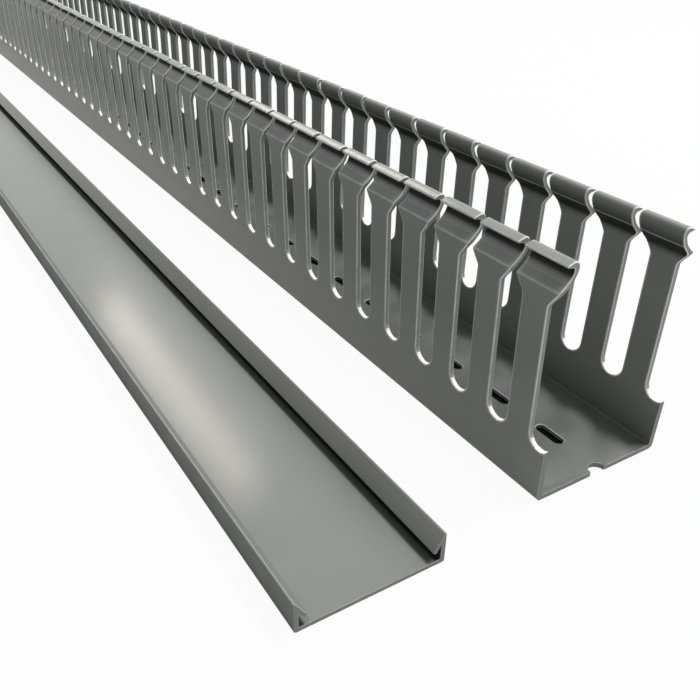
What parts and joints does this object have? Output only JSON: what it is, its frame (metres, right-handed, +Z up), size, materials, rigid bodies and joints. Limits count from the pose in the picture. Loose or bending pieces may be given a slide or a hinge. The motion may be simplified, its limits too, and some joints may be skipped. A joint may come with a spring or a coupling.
{
  "type": "slotted wire duct",
  "caption": "Grey plastic wiring duct: open channel with slotted finger walls, hooked heads and fixing slots in its floor, with its clip-on cover lying beside it.",
  "frame": {"origin": "middle of the base's underside, on the floor it lies on", "axes": "+X along the duct to its near end in the picture, +Z up out of the open trough, -Y towards the cover"},
  "size_m": [1.0036, 0.1076, 0.06],
  "materials": {
    "duct_grey": "satin",
    "cover_grey": "satin"
  },
  "bodies": {
    "root": {"duct_base": "duct_grey", "duct_cover": "cover_grey"}
  },
  "joints": []
}
